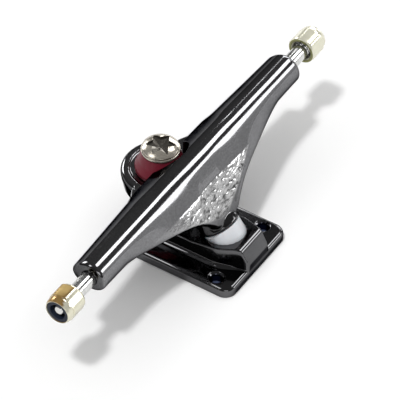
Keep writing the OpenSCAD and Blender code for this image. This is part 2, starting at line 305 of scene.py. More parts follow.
def turned(name: str, profile: Pairs, place: Matrix, closed: bool = False,
           count: int = 96) -> Object:
    """Turn a profile about the local Z axis.

    Args:
        name: name of the new object.
        profile: (radius, height) pairs in mm; a zero radius makes a pole.
        place: matrix from the local axis to the frame.
        closed: whether the profile is a closed loop.
        count: points around the axis.

    Returns:
        The new object.
    """
    angles = round_angles(count)
    rings = [pole(z) if r <= TINY else ring(r, z, angles) for r, z in profile]
    return skinned(name, rings, place, closed)


def square_ring(name: str, radii: tuple[float, float], height: float, fillets: Sequence[float],
                place: Matrix) -> Object:
    """Turn a ring of square section.

    Args:
        name: name of the new object.
        radii: its bore and outside radius in mm.
        height: its height in mm.
        fillets: rounding of its corners, from the lower bore round to the upper bore.
        place: matrix from the local axis to the frame.

    Returns:
        The ring.
    """
    bore, out = radii
    corners = ((bore, 0.0), (out, 0.0), (out, height), (bore, height))
    profile = filleted([(*c, fillet) for c, fillet in zip(corners, fillets)], closed=True)
    return turned(name, profile, place, closed=True)


def cast_copy(node: str, name: str, voxel: float, rounds: int,
              extra: Optional[Object] = None) -> Object:
    """Copy a node's solid as an even mesh with softened edges.

    Args:
        node: the solid to copy.
        name: name of the new object.
        voxel: size of the even faces, in mm.
        rounds: passes of softening.
        extra: a closed form that is fused with the copy, and used up.

    Returns:
        The new object.
    """
    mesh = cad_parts[node].data.copy()
    mesh.materials.clear()
    bm = bmesh.new()
    bm.from_mesh(mesh)
    bmesh.ops.remove_doubles(bm, verts=bm.verts, dist=TINY)
    if extra is not None:
        bm.from_mesh(extra.data)
        bpy.data.meshes.remove(extra.data)
    bm.to_mesh(mesh)
    bm.free()
    obj = add_object(name, mesh)
    remesh = obj.modifiers.new("even", "REMESH")
    remesh.mode = "VOXEL"
    remesh.voxel_size = voxel * MM
    remesh.use_smooth_shade = True
    soften = obj.modifiers.new("soften", "SMOOTH")
    soften.factor = 0.5
    soften.iterations = rounds
    bpy.context.view_layer.update()
    graph = bpy.context.evaluated_depsgraph_get()
    baked = bpy.data.meshes.new_from_object(obj.evaluated_get(graph))
    obj.modifiers.clear()
    obj.data = baked
    baked.name = name
    baked.shade_smooth()
    return obj


def vectors_of(rows: bpy.types.bpy_prop_collection, key: str) -> np.ndarray:
    """Read one vector from each row of a mesh.

    Args:
        rows: the mesh's points or normals.
        key: name of the vector.

    Returns:
        The vectors, one in each row.
    """
    flat = np.empty(len(rows) * 3, np.float32)
    rows.foreach_get(key, flat)
    return flat.reshape(-1, 3).astype(float)


def points_of(mesh: Mesh) -> np.ndarray:
    """Points of a mesh, in mm."""
    return vectors_of(mesh.vertices, "co") / MM


def move_points(mesh: Mesh, co: np.ndarray) -> None:
    """Write points in mm back to a mesh."""
    mesh.vertices.foreach_set("co", (co * MM).astype(np.float32).ravel())
    mesh.update()


def mark(mesh: Mesh, name: str, values: np.ndarray) -> None:
    """Store a value at each point of a mesh, for its finish to read."""
    layer = mesh.attributes.new(name, "FLOAT", "POINT")
    layer.data.foreach_set("value", values.astype(np.float32))


def at(origin: Point, lean_x: float = 0.0, lean_y: float = 0.0) -> Matrix:
    """Place a local axis in the frame.

    Args:
        origin: position in mm.
        lean_x: turn about X, in degrees.
        lean_y: turn about Y, in degrees.

    Returns:
        The matrix, in metres.
    """
    turn_x = Matrix.Rotation(math.radians(lean_x), 4, "X")
    turn_y = Matrix.Rotation(math.radians(lean_y), 4, "Y")
    return Matrix.Translation(Vector(origin) * MM) @ turn_x @ turn_y


# Shader groups


def grey(level: float) -> Colour:
    """A neutral colour."""
    return (level, level, level)


class Shading:
    """Small helper around one node tree."""

    def __init__(self, tree: NodeTree) -> None:
        """Keep the tree that nodes are added to."""
        self.tree = tree

    def feed(self, node: Node, inputs: dict[str, Input]) -> None:
        """Set or link inputs of a node.

        Args:
            node: the node.
            inputs: values or output sockets, by the name or number of the input.
        """
        for key, value in inputs.items():
            socket = node.inputs[int(key) if key.isdigit() else key]
            if isinstance(value, NodeSocket):
                self.tree.links.new(value, socket)
            else:
                socket.default_value = (*value, 1.0) if socket.type == "RGBA" else value

    def add(self, kind: str, inputs: Optional[dict[str, Input]] = None,
            **settings: object) -> Node:
        """Add a node.

        Args:
            kind: node type name.
            inputs: values or output sockets for its inputs.
            settings: properties of the node.

        Returns:
            The node.
        """
        node = self.tree.nodes.new(kind)
        for key, value in settings.items():
            setattr(node, key, value)
        self.feed(node, inputs or {})
        return node

    def maths(self, operation: str, a: Input, b: Input = 0.0) -> NodeSocket:
        """Output of a Math node."""
        return self.add("ShaderNodeMath", {"0": a, "1": b}, operation=operation).outputs[0]

    def times(self, a: Input, b: Input) -> NodeSocket:
        """Product of two values."""
        return self.maths("MULTIPLY", a, b)

    def plus(self, a: Input, b: Input) -> NodeSocket:
        """Sum of two values."""
        return self.maths("ADD", a, b)

    def vectors(self, operation: str, a: Input, b: Point = (0.0, 0.0, 0.0)) -> NodeOutputs:
        """Outputs of a Vector Math node."""
        return self.add("ShaderNodeVectorMath", {"0": a, "1": b}, operation=operation).outputs

    def part(self, vector: Input, axis: Axis) -> NodeSocket:
        """One axis of a vector."""
        return self.add("ShaderNodeSeparateXYZ", {"Vector": vector}).outputs[axis.value]

    def spread(self, value: Input, low: Input, high: Input, to_low: float = 0.0,
               to_high: float = 1.0) -> NodeSocket:
        """Output of a Map Range node.

        Args:
            value: the socket to map.
            low: start of its range.
            high: end of its range.
            to_low: value at the start.
            to_high: value at the end.

        Returns:
            The mapped socket.
        """
        node = self.add("ShaderNodeMapRange", {"Value": value, "From Min": low, "From Max": high,
                                               "To Min": to_low, "To Max": to_high})
        return node.outputs["Result"]

    def between(self, mask: NodeSocket, low: float, high: float) -> NodeSocket:
        """Value that runs from low to high with a mask."""
        return self.spread(mask, 0.0, 1.0, low, high)

    def tint(self, mask: Input, a: Colour, b: Colour,
             *between: tuple[float, Colour]) -> NodeSocket:
        """Colour that runs from a to b with a mask.

        Args:
            mask: the socket between 0 and 1.
            a: colour at 0.
            b: colour at 1.
            between: places on the way, with their colours.

        Returns:
            The colour socket.
        """
        ramp = self.add("ShaderNodeValToRGB", {"Fac": mask})
        stops = ramp.color_ramp.elements
        stops[0].color, stops[1].color = (*a, 1.0), (*b, 1.0)
        for place, colour in between:
            stops.new(place).color = (*colour, 1.0)
        return ramp.outputs["Color"]

    def blend(self, mask: Input, a: Input, b: Input, **settings: object) -> NodeSocket:
        """Colour b laid over colour a."""
        return self.add("ShaderNodeMix", {"Factor": mask, "6": a, "7": b}, data_type="RGBA",
                        **settings).outputs[2]

    def shaded(self, colour: Input, tone: NodeSocket) -> NodeSocket:
        """Colour times a value."""
        return self.blend(1.0, colour, tone, blend_type="MULTIPLY")

    def noise(self, vector: Input, scale: Input, detail: float = 2.0,
              rough: float = 0.5) -> NodeSocket:
        """Value of a noise texture.

        Args:
            vector: coordinates.
            scale: how fine it is.
            detail: octaves.
            rough: weight of the finer octaves.

        Returns:
            The value socket.
        """
        node = self.add("ShaderNodeTexNoise", {"Vector": vector, "Scale": scale,
                                               "Detail": detail, "Roughness": rough})
        return node.outputs["Fac"]

    def marked(self, name: str) -> NodeSocket:
        """Value that the mesh carries under a name."""
        return self.add("ShaderNodeAttribute", attribute_name=name).outputs["Fac"]

    def effect(self, tree: NodeTree, **inputs: Input) -> NodeOutputs:
        """Outputs of a shared group, placed with its own values."""
        return self.add("ShaderNodeGroup", inputs, node_tree=tree).outputs

    def bump(self, height: NodeSocket, strength: float, distance: float) -> NodeSocket:
        """Normal of a Bump node, with its distance in metres."""
        return self.add("ShaderNodeBump", {"Height": height, "Strength": strength,
                                           "Distance": distance}).outputs["Normal"]


class Effects:
    """Shader groups that several finishes share, each built once."""

    @staticmethod
    def start(name: str, ins: dict[str, Optional[float]],
              outs: Sequence[str]) -> tuple[Shading, NodeOutputs]:
        """Start a group with named sockets.

        Args:
            name: name of the group.
            ins: input names with their defaults, or None for a vector.
            outs: names of the value outputs.

        Returns:
            The helper around the new tree, and what the group is given.
        """
        tree = bpy.data.node_groups.new(name, "ShaderNodeTree")
        for label, value in ins.items():
            kind = "NodeSocketVector" if value is None else "NodeSocketFloat"
            socket = tree.interface.new_socket(label, in_out="INPUT", socket_type=kind)
            if value is not None:
                socket.default_value = value
        for label in outs:
            tree.interface.new_socket(label, in_out="OUTPUT", socket_type="NodeSocketFloat")
        s = Shading(tree)
        return s, s.add("NodeGroupInput").outputs

    @staticmethod
    @cache
    def orange_peel() -> NodeTree:
        """Fine waviness of a sprayed or moulded skin, with a slow drift of tone.

        Returns:
            The group.
        """
        s, given = Effects.start("Orange Peel", {"Vector": None, "Scale": 900.0},
                                 ("Height", "Tone"))
        vector, scale = given["Vector"], given["Scale"]
        coarse = s.noise(vector, scale, 2.0)
        fine = s.noise(vector, s.times(scale, 3.7), 1.0)
        drift = s.noise(vector, s.times(scale, 0.11), 3.0, 0.6)
        height = s.plus(s.times(coarse, 0.7), s.times(fine, 0.3))
        s.add("NodeGroupOutput", {"Height": height, "Tone": s.spread(drift, 0.3, 0.7)})
        return s.tree

    @staticmethod
    @cache
    def lathe_lines() -> NodeTree:
        """Fine turning marks along an axis, uneven in depth.

        Returns:
            The group.
        """
        s, given = Effects.start("Lathe Lines", {"Along": 0.0, "Pitch": 4000.0},
                                 ("Height", "Tone"))
        along = s.add("ShaderNodeCombineXYZ", {"Z": given["Along"]}).outputs["Vector"]
        fine = s.noise(along, given["Pitch"], 3.0, 0.7)
        broad = s.noise(along, s.times(given["Pitch"], 0.13), 2.0)
        s.add("NodeGroupOutput", {"Height": s.plus(fine, s.times(broad, 0.5)),
                                  "Tone": s.spread(broad, 0.3, 0.7)})
        return s.tree

    @staticmethod
    @cache
    def edge_mask_group() -> NodeTree:
        """Mask of sharp outer edges, broken up by noise.

        Returns:
            The group.
        """
        s, given = Effects.start("Edge Mask", {"Vector": None, "Start": 0.52, "End": 0.62},
                                 ("Mask",))
        point = s.add("ShaderNodeNewGeometry").outputs["Pointiness"]
        edge = s.spread(point, given["Start"], given["End"])
        patchy = s.spread(s.noise(given["Vector"], 700.0, 3.0), 0.35, 0.6, 0.25, 1.0)
        s.add("NodeGroupOutput", {"Mask": s.times(edge, patchy)})
        return s.tree

    @staticmethod
    @cache
    def cove_shade() -> NodeTree:
        """Mask of inner corners, for painted shade there.

        Returns:
            The group.
        """
        s, given = Effects.start("Cove Shade", {"Start": 0.49, "End": 0.44}, ("Mask",))
        point = s.add("ShaderNodeNewGeometry").outputs["Pointiness"]
        s.add("NodeGroupOutput", {"Mask": s.spread(point, given["Start"], given["End"])})
        return s.tree

    @staticmethod
    @cache
    def handling() -> NodeTree:
        """Mask of faint smudges and hairline marks from handling.

        Returns:
            The group.
        """
        s, given = Effects.start("Handling Marks", {"Vector": None, "Scale": 60.0}, ("Mask",))
        vector, scale = given["Vector"], given["Scale"]
        smudge = s.spread(s.noise(vector, scale, 4.0, 0.65), 0.45, 0.75)
        stretch = s.add("ShaderNodeMapping", {"Vector": vector, "Rotation": (0.3, 0.5, 0.7),
                                              "Scale": (40.0, 1.0, 40.0)}).outputs["Vector"]
        hair = s.spread(s.noise(stretch, scale, 1.0), 0.66, 0.72, 0.0, 0.6)
        s.add("NodeGroupOutput", {"Mask": s.maths("MAXIMUM", smudge, hair)})
        return s.tree


class Paint(Shading):
    """Nodes of one material: its shader, and coordinates that stay with the piece."""

    def __init__(self, name: str) -> None:
        """Start a material.

        Args:
            name: name of the material.
        """
        self.material = bpy.data.materials.new(name)
        self.material.use_nodes = True
        super().__init__(self.material.node_tree)
        self.tree.nodes.clear()
        self.shader = self.add("ShaderNodeBsdfPrincipled")
        self.add("ShaderNodeOutputMaterial", {"Surface": self.shader.outputs["BSDF"]})
        coords = self.add("ShaderNodeTexCoord").outputs
        self.where, self.normal = coords["Object"], coords["Normal"]

    def peel(self, scale: float) -> NodeOutputs:
        """Height and tone of an orange peel."""
        return self.effect(Effects.orange_peel(), Vector=self.where, Scale=scale)

    def marks(self, scale: float) -> NodeSocket:
        """Mask of handling marks."""
        return self.effect(Effects.handling(), Vector=self.where, Scale=scale)["Mask"]

    def edge_mask(self, start: float, end: float) -> NodeSocket:
        """Mask of sharp edges, between two sharpnesses."""
        return self.effect(Effects.edge_mask_group(), Vector=self.where, Start=start, End=end)["Mask"]


# Finishes


@dataclass(frozen=True)
class Finish:
    """A named finish, whose kinds say how its shader is fed."""

    name: str

    @cache
    def material(self) -> Material:
        """Build the material, once.

        Returns:
            The material.
        """
        s = Paint(self.name)
        self.fill(s)
        return s.material

    def fill(self, s: Paint) -> None:
        """Feed the shader, in the way of each kind of finish."""
        raise NotImplementedError


@dataclass(frozen=True)
class BlackCoat(Finish):
    """Dark polished metal coat of the castings."""

    grey: float
    smooth: float
    satin: float
    rim: float = 0.12
    edge_lightening: float = 0.35
    end_shade: float = 1.0
    bore_shading: bool = False
    cast_grain: bool = False
    swing: float = 0.12
    cool: float = 1.03
    wear_highlight_gain: float = 2.2
    cove_painted_shade: float = 0.3
    peel_scale: float = 420.0
    peel_depth: float = 0.12
    marks_scale: float = 55.0
    grit_scale: float = 1500.0
    pit_scale: float = 620.0
    panel_rough: float = 0.07
    panel_cover: float = 0.85
    bare_gain: float = 2.8
    pit_shade_gain: float = 0.35
    nose_painted_shade: float = 0.55
    # Blue-black painted shade for the walls of the deck holes.
    bore: Colour = (0.025, 0.03, 0.055)

    def fill(self, s: Paint) -> None:
        """Feed the coat, with painted shade in inner corners and on faces towards ±X, and sharp
        edges lightened for wear and painted highlight; where they are asked for, painted shade in
        the bores, and the rough-cast panel.

        Args:
            s: the material's nodes.
        """
        peel = s.peel(self.peel_scale)
        cove = s.effect(Effects.cove_shade(), Start=0.488, End=0.45)["Mask"]
        dark, light = (1.0 - self.swing) * self.grey, (1.0 + self.swing) * self.grey
        colour = s.tint(peel["Tone"], (dark, dark, self.cool * dark),
                        (light, light, self.cool * light))
        # Sharp edges are lightened: partly rubbed wear, partly painted highlight.
        wear_and_highlight = s.times(s.edge_mask(0.53, 0.66), self.edge_lightening)
        colour = s.blend(wear_and_highlight, colour, grey(self.wear_highlight_gain * light))
        # Painted shade: the coat darkens in inner corners and on faces that turn towards ±X, such
        # as the barrel's ends.
        ends = s.maths("ABSOLUTE", s.part(s.normal, Axis.X))
        colour = s.shaded(colour, s.times(s.between(cove, 1.0, self.cove_painted_shade),
                                          s.spread(ends, 0.3, 0.8, 1.0, self.end_shade)))
        rough = s.between(s.marks(self.marks_scale), self.smooth, self.satin)
        height = s.times(peel["Height"], self.peel_depth)
        if self.cast_grain:
            colour, rough, height = self.panel(s, colour, rough, height)
        # Painted shade: the marked walls of the deck holes turn blue-black.
        if self.bore_shading:
            colour = s.blend(s.marked("bore"), colour, self.bore)
        s.feed(s.shader, {"Base Color": colour, "Roughness": rough, "Metallic": 1.0,
                          "Specular Tint": grey(self.rim),
                          "Normal": s.bump(height, 0.55, 0.0001)})

    def panel(self, s: Paint, colour: NodeSocket, rough: NodeSocket,
              height: NodeSocket) -> tuple[NodeSocket, NodeSocket, NodeSocket]:
        """Lay the rough-cast panel over the coat, with painted shade in its pits, and darken the
        whole coat towards the nose as painted shade.

        Args:
            s: the material's nodes.
            colour: colour of the coat.
            rough: its roughness.
            height: its bump height.

        Returns:
            The colour, roughness and height with the panel.
        """
        panel = s.marked("rough_cast")
        grit = s.noise(s.where, self.grit_scale, 4.0, 0.65)
        pits = s.spread(s.noise(s.where, self.pit_scale, 2.0), 0.35, 0.65)
        grain = s.plus(s.times(grit, 0.6), s.times(pits, 0.5))
        # Lighter bare metal in the panel, with painted shade in the pits of its ripple.
        cast = s.tint(s.marked("pit"), grey(self.bare_gain * self.grey),
                      grey(self.pit_shade_gain * self.grey))
        colour = s.blend(s.times(panel, self.panel_cover), colour, cast)
        # Painted shade: the whole coat darkens below about 33 mm, towards the nose and cup.
        low_shade = s.spread(s.part(s.where, Axis.Z), 0.025, 0.033, self.nose_painted_shade, 1.0)
        tone = s.times(low_shade, s.spread(grit, 0.35, 0.65, 0.8, 1.2))
        return (s.shaded(colour, tone), s.plus(rough, s.times(panel, self.panel_rough)),
                s.plus(height, s.times(grain, panel)))


@dataclass(frozen=True)
class Urethane(Finish):
    """Cast urethane of the cup and bushings."""

    deep: Colour
    pale: Colour
    glow: float
    glow_reach: float
    sheen: float = 0.5
    gloss: float = 0.34
    matt: float = 0.48
    glow_tint: Colour = (1.0, 0.5, 0.45)

    def fill(self, s: Paint) -> None:
        """Feed the urethane, with its soft skin and a little depth.

        Args:
            s: the material's nodes.
        """
        peel = s.peel(650.0)
        s.feed(s.shader, {"Base Color": s.tint(peel["Tone"], self.deep, self.pale),
                          "Roughness": s.between(s.marks(90.0), self.gloss, self.matt),
                          "Specular IOR Level": self.sheen, "Subsurface Weight": self.glow,
                          "Subsurface Radius": self.glow_tint,
                          "Subsurface Scale": self.glow_reach,
                          "Normal": s.bump(peel["Height"], 0.25, 0.0001)})


@dataclass(frozen=True)
class TurnedMetal(Finish):
    """Bright metal with turning marks along one axis."""

    shade: Colour
    shine: Colour
    smooth: float
    satin: float
    along: Axis
    depth: float
    recess: float = 1.0
    metallic: float = 1.0

    def fill(self, s: Paint) -> None:
        """Feed the metal, with turning marks, rubbed edges and painted shade in the recess.

        Args:
            s: the material's nodes.
        """
        along = s.part(s.where, self.along)
        lines = s.effect(Effects.lathe_lines(), Along=along, Pitch=5200.0)
        tone = s.times(lines["Tone"], s.between(s.edge_mask(0.52, 0.6), 0.8, 1.0))
        metal = s.tint(tone, self.shade, self.shine)
        # Painted shade inside the drive recess.
        if self.recess < 1.0:
            metal = s.shaded(metal, s.between(s.marked("recess"), 1.0, self.recess))
        s.feed(s.shader, {"Base Color": metal, "Metallic": self.metallic,
                          "Roughness": s.between(s.marks(120.0), self.smooth, self.satin),
                          "Normal": s.bump(lines["Height"], self.depth, 0.00004)})


@dataclass(frozen=True)
class ZincPlate(Finish):
    """Yellow zinc plating: cream, with painted shade on the faces that turn one way and near the
    bore, rubbed at the edges.
    """

    cream: Colour
    gold: Colour
    brown: Colour
    bare: Colour
    shade_facing: Point
    brown_at: float = 0.6
    collar: float = 0.1084
    collar_shade: float = 0.85
    edge_lightening: float = 0.5
    bore_r: tuple[float, float] = (0.0048, 0.0064)
    bore_painted_shade: float = 0.1

    def fill(self, s: Paint) -> None:
        """Feed the plating, with painted shade on the faces that turn one way, browner on the
        collar, and painted shade in the bore.

        Args:
            s: the material's nodes.
        """
        peel = s.peel(700.0)
        # Painted shade: faces that turn one way are tinted gold to brown, browner on the collar.
        facing = s.vectors("DOT_PRODUCT", s.normal, self.shade_facing)["Value"]
        facing_shade = s.spread(s.plus(facing, s.times(peel["Tone"], 0.06)), 0.74, 0.9)
        colour = s.tint(facing_shade, self.cream, self.gold, (self.brown_at, self.brown))
        out = s.maths("ABSOLUTE", s.part(s.where, Axis.X))
        collar_shaded = s.spread(out, self.collar - MM, self.collar, 0.0, self.collar_shade)
        colour = s.blend(s.times(facing_shade, collar_shaded), colour, self.brown)
        colour = s.blend(s.times(s.edge_mask(0.54, 0.68), self.edge_lightening), colour, self.bare)
        # Painted shade: the colour darkens close to the axle, in the bore and its chamfer.
        off = s.vectors("ADD", s.where, (0.0, -AXLE_BACK * MM, -AXLE_HEIGHT * MM))["Vector"]
        across = s.vectors("MULTIPLY", off, (0.0, 1.0, 1.0))["Vector"]
        radius = s.vectors("LENGTH", across)["Value"]
        colour = s.shaded(colour, s.spread(radius, *self.bore_r, self.bore_painted_shade, 1.0))
        s.feed(s.shader, {"Base Color": colour, "Metallic": 0.5,
                          "Roughness": s.between(s.marks(150.0), 0.14, 0.24),
                          "Normal": s.bump(peel["Height"], 0.06, 0.00003)})


@dataclass(frozen=True)
class Nylon(Finish):
    """Dark moulded nylon of the lock inserts."""

    dark: Colour
    light: Colour

    def fill(self, s: Paint) -> None:
        """Feed the nylon.

        Args:
            s: the material's nodes.
        """
        peel = s.peel(1400.0)
        s.feed(s.shader, {"Base Color": s.tint(peel["Tone"], self.dark, self.light),
                          "Roughness": s.between(peel["Tone"], 0.32, 0.48),
                          "Specular IOR Level": 0.2,
                          "Normal": s.bump(peel["Height"], 0.3, 0.00005)})


HANGER_COAT = BlackCoat("black_coat_hanger", grey=0.21, smooth=0.08, satin=0.13, end_shade=0.45,
                        cast_grain=True)
# The plate's edges are lightened more strongly, partly as painted highlight.
PLATE_COAT = BlackCoat("black_coat_plate", grey=0.12, smooth=0.09, satin=0.16, edge_lightening=0.8,
                       bore_shading=True)
CUP_WHITE = Urethane("white_urethane", deep=(0.75, 0.78, 0.82), pale=(0.83, 0.85, 0.88),
                     glow=0.15, glow_reach=0.0015)
WINE_RED = Urethane("wine_urethane", deep=(0.13, 0.01, 0.02), pale=(0.2, 0.018, 0.034),
                    glow=0.12, glow_reach=0.002, sheen=0.25)
AXLE_STEEL = TurnedMetal("bright_steel", shade=(0.58, 0.58, 0.57), shine=(0.78, 0.78, 0.76),
                         smooth=0.18, satin=0.28, along=Axis.X, depth=0.14)
NICKEL = TurnedMetal("nickel_plate", shade=(0.44, 0.4, 0.34), shine=(0.66, 0.62, 0.54),
                     smooth=0.2, satin=0.32, along=Axis.Z, depth=0.06, recess=0.24, metallic=0.75)
PLAIN_STEEL = TurnedMetal("zinc_steel", shade=(0.45, 0.46, 0.48), shine=(0.62, 0.63, 0.65),
                          smooth=0.25, satin=0.4, along=Axis.Z, depth=0.15)
# Two copies of one zinc, which differ in which faces take the painted shade and in its colour.
GOLD_ZINC = ZincPlate("gold_zinc", cream=(0.86, 0.83, 0.66), gold=(0.84, 0.6, 0.24),
                      brown=(0.3, 0.17, 0.05), bare=(0.88, 0.85, 0.74), shade_facing=(-0.5, 0.25, 0.83))
PALE_ZINC = ZincPlate("pale_zinc", cream=(0.86, 0.84, 0.68), gold=(0.26, 0.26, 0.11),
                      brown=(0.5, 0.49, 0.25), bare=(0.88, 0.86, 0.76), shade_facing=(-1.0, 0.0, 0.0))
DARK_NYLON = Nylon("navy_nylon", dark=(0.008, 0.013, 0.026), light=(0.015, 0.022, 0.042))


# Sub-assemblies


def stand_in(obj: Object, node: str, finish: Finish, carrier: str) -> None:
    """Dress a piece and let it stand for its node.

    Args:
        obj: the piece.
        node: the node that it replaces.
        finish: its finish.
        carrier: what carries it, for the log.
    """
    obj.data.materials.clear()
    obj.data.materials.append(finish.material())
    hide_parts(node)
    log.info("%s: %d faces on %s", obj.name, len(obj.data.polygons), carrier)


def settle(obj: Object, node: str, body: str, finish: Finish) -> None:
    """Let a piece ride on its body, and dress it."""
    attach(obj, body)
    stand_in(obj, node, finish, body)


@dataclass
class Baseplate:
    """Cast baseplate with its pivot boss, kingpin tower and deck holes."""

    hole_dx: float = 41.3
    hole_dy: float = 53.98
    hole_r: float = 2.8
    foot: float = 1.4
    bore_shade_out: float = 0.5
    bore_shade_fade: float = 0.4
    voxel: float = 0.32
    rounds: int = 9

    def build(self) -> Object:
        """Make the softened casting, with a crisp foot to its deck holes, and mark their walls for
        painted shade.

        Returns:
            The casting.
        """
        obj = cast_copy("baseplate", "baseplate_casting", self.voxel, self.rounds)
        co = points_of(obj.data)
        centre = np.array((self.hole_dx, self.hole_dy)) / 2
        side = np.abs(co[:, :2]) - centre
        off = np.hypot(side[:, 0], side[:, 1])
        proud, up = off - self.hole_r, co[:, 2]
        foot = (np.abs(proud) < self.foot) & (up < self.foot)
        wall, base = foot & (proud < up), foot & (proud >= up)
        side[wall] *= (self.hole_r / off[wall])[:, None]
        co[wall, :2] = np.sign(co[wall, :2]) * (side[wall] + centre)
        co[base, 2] = 0.0
        move_points(obj.data, co)
        # The bore mark carries painted shade onto the hole walls and their rims.
        mark(obj.data, "bore", clamp01((self.bore_shade_out - proud) / self.bore_shade_fade))
        return obj

    def dress(self) -> None:
        """Build the casting and give it its coat."""
        settle(self.build(), "baseplate", "base", PLATE_COAT)


@dataclass
class PivotCup:
    """White liner that holds the ball of the hanger nose."""

    outer_r: float = 9.6
    inner_r: float = 6.3
    mouth_r: float = 6.8
    rise: float = 6.0
    lip: float = 0.5

    def build(self) -> Object:
        """Turn the cup about its leaning axis.

        Returns:
            The cup.
        """
        down = [math.radians(a) for a in range(0, 91, 6)]
        outside, inside = ([(r * math.sin(a), -r * math.cos(a)) for a in down]
                           for r in (self.outer_r, self.inner_r))
        rim = filleted([
            (self.outer_r, 0.0, 0.0), (self.outer_r, self.rise, 0.7),
            (self.mouth_r + 0.9, self.rise, 0.35),
            (self.mouth_r - 0.1, self.rise - self.lip, 0.5), (self.inner_r, 0.0, 0.0)])
        profile = outside[:-1] + rim + inside[-2::-1]
        return turned("pivot_cup_liner", profile, at(PIVOT, lean_x=PIVOT_LEAN))

    def dress(self) -> None:
        """Build the cup in white urethane."""
        settle(self.build(), "pivot_cup", "base", CUP_WHITE)


@dataclass(frozen=True)
class Ripple:
    """Noise of the rough-cast panel: stretched swells and ridges, with pits between."""

    seed: int = 8
    lift: float = 0.08
    warp_scale: float = 0.45
    warp: float = 1.1
    stretch: float = 0.42
    ridge_scale: float = 0.7
    ridge_sharp: float = 2.6
    ridge_lift: float = 0.12
    ridge_mean: float = 0.4
    swell_scale: float = 0.5
    swell_lift: float = 0.17
    pit_base: float = 0.6
    pit_ridge: float = 0.7
    pit_swell: float = 1.1

    def at(self, p: Vector) -> tuple[float, float]:
        """Read the noise.

        Args:
            p: a point in mm.

        Returns:
            How far the point is raised in mm, and how deep in a pit it lies.
        """
        bent = p + noise.noise_vector(p * self.warp_scale) * self.warp
        bent.x *= self.stretch
        ridge = max(0.0, 1.0 - self.ridge_sharp * abs(noise.noise(bent * self.ridge_scale)))
        swell = noise.fractal(bent * self.swell_scale, 0.9, 2.1, 3)
        lift = self.lift + self.swell_lift * swell + self.ridge_lift * (ridge - self.ridge_mean)
        return lift, clamp01(self.pit_base - self.pit_ridge * ridge - self.pit_swell * swell)


